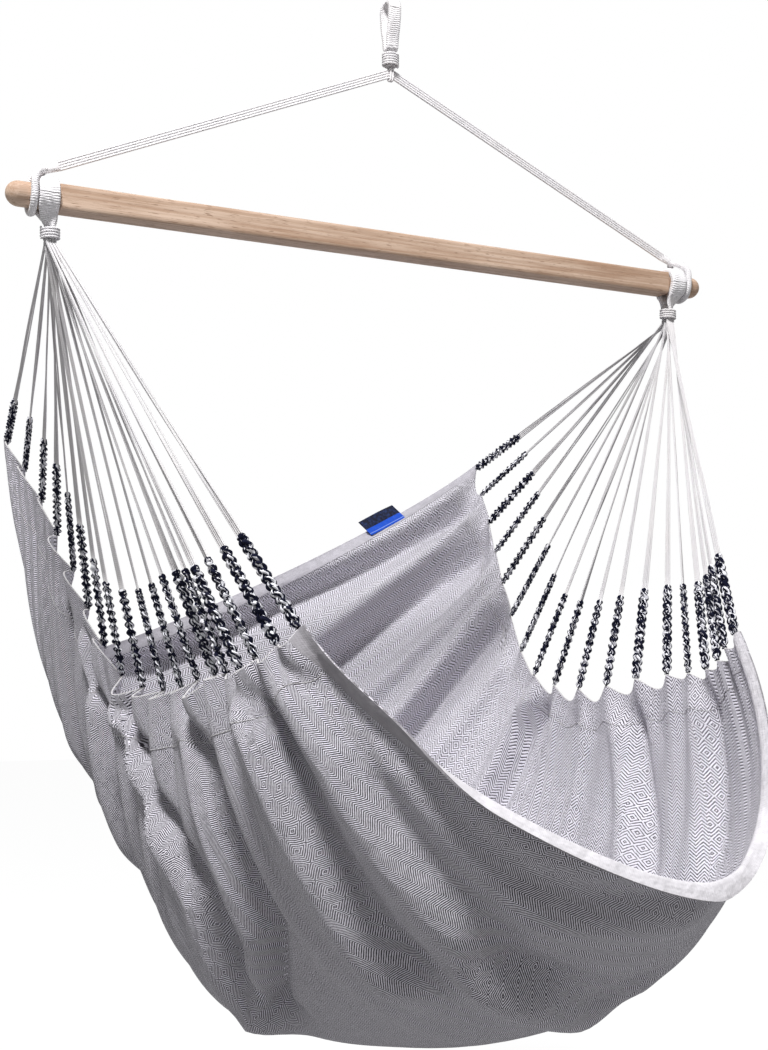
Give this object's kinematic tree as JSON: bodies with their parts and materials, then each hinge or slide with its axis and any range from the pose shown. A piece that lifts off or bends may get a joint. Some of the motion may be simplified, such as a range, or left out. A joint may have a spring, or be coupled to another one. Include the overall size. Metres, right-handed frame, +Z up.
{
  "type": "hammock chair",
  "caption": "Hanging cloth chair: a cotton seat gathered on plaited cords below a wooden spreader bar, held by a cord bridle and a hanging loop.",
  "frame": {"origin": "inside top of the hanging loop's eye, where the hook bears", "axes": "+X along the spreader bar to the sitter's left, +Z up against gravity, the sitter faces -Y"},
  "size_m": [1.1, 1.2146, 1.4805],
  "materials": {
    "served_cord": "white cord served tightly round itself",
    "white_cord": "twisted white cord",
    "bar_wood": "light hardwood, smooth and matt",
    "grey_cloth": "grey and off-white cotton twill in a diamond weave",
    "light_band": "plain light edge band of the cloth",
    "label_weave": "plain woven label, dark navy over blue",
    "line_and_plait": "off-white cords that end in navy and white plaits"
  },
  "bodies": {
    "hanger": {"hanging_loop": "served_cord"},
    "seizing": {"loop_neck": "served_cord", "loop_seizing": "white_cord"},
    "hitch": {"crown_hitch": "white_cord"},
    "bridle": {"bridle_cord_1": "white_cord", "bridle_cord_2": "white_cord", "bridle_cord_3": "white_cord", "bridle_cord_4": "white_cord", "bridle_end_loop_left": "served_cord", "bridle_end_loop_right": "served_cord"},
    "bar": {"spreader_bar": "bar_wood"},
    "seat": {"seat_cloth": "grey_cloth", "back_edge_band": "light_band", "front_edge_band": "light_band", "label_tab": "label_weave", "harness_loop_left": "served_cord", "throat_whipping_left": "white_cord", "suspension_line_left_01": "line_and_plait", "suspension_line_left_02": "line_and_plait", "suspension_line_left_03": "line_and_plait", "suspension_line_left_04": "line_and_plait", "suspension_line_left_05": "line_and_plait", "suspension_line_left_06": "line_and_plait", "suspension_line_left_07": "line_and_plait", "suspension_line_left_08": "line_and_plait", "suspension_line_left_09": "line_and_plait", "suspension_line_left_10": "line_and_plait", "suspension_line_left_11": "line_and_plait", "suspension_line_left_12": "line_and_plait", "suspension_line_left_13": "line_and_plait", "suspension_line_left_14": "line_and_plait", "suspension_line_left_15": "line_and_plait", "suspension_line_left_16": "line_and_plait", "suspension_line_left_17": "line_and_plait", "suspension_line_left_18": "line_and_plait", "harness_loop_right": "served_cord", "throat_whipping_right": "white_cord", "suspension_line_right_01": "line_and_plait", "suspension_line_right_02": "line_and_plait", "suspension_line_right_03": "line_and_plait", "suspension_line_right_04": "line_and_plait", "suspension_line_right_05": "line_and_plait", "suspension_line_right_06": "line_and_plait", "suspension_line_right_07": "line_and_plait", "suspension_line_right_08": "line_and_plait", "suspension_line_right_09": "line_and_plait", "suspension_line_right_10": "line_and_plait", "suspension_line_right_11": "line_and_plait", "suspension_line_right_12": "line_and_plait", "suspension_line_right_13": "line_and_plait", "suspension_line_right_14": "line_and_plait", "suspension_line_right_15": "line_and_plait", "suspension_line_right_16": "line_and_plait", "suspension_line_right_17": "line_and_plait", "suspension_line_right_18": "line_and_plait"}
  },
  "joints": [
    {"name": "fore_aft_swing", "type": "hinge", "parent": "hanger", "child": "seizing", "pos_m": [0, 0, -0.0585], "axis": [1, 0, 0], "range_deg": [-25, 25]},
    {"name": "twist", "type": "hinge", "parent": "seizing", "child": "hitch", "pos_m": [0, 0, -0.0883], "axis": [0, 0, 1], "range_deg": [-90, 90], "stiffness_Nm_per_rad": 0.4},
    {"name": "sideways_rock", "type": "hinge", "parent": "hitch", "child": "bridle", "pos_m": [0, 0, -0.092], "axis": [0, 1, 0], "range_deg": [-10, 10]},
    {"name": "bar_roll", "type": "hinge", "parent": "bridle", "child": "bar", "pos_m": [0, 0, -0.347], "axis": [1, 0, 0], "continuous": true},
    {"name": "seat_swing", "type": "hinge", "parent": "bridle", "child": "seat", "pos_m": [0, 0, -0.347], "axis": [1, 0, 0], "range_deg": [-45, 45]}
  ]
}
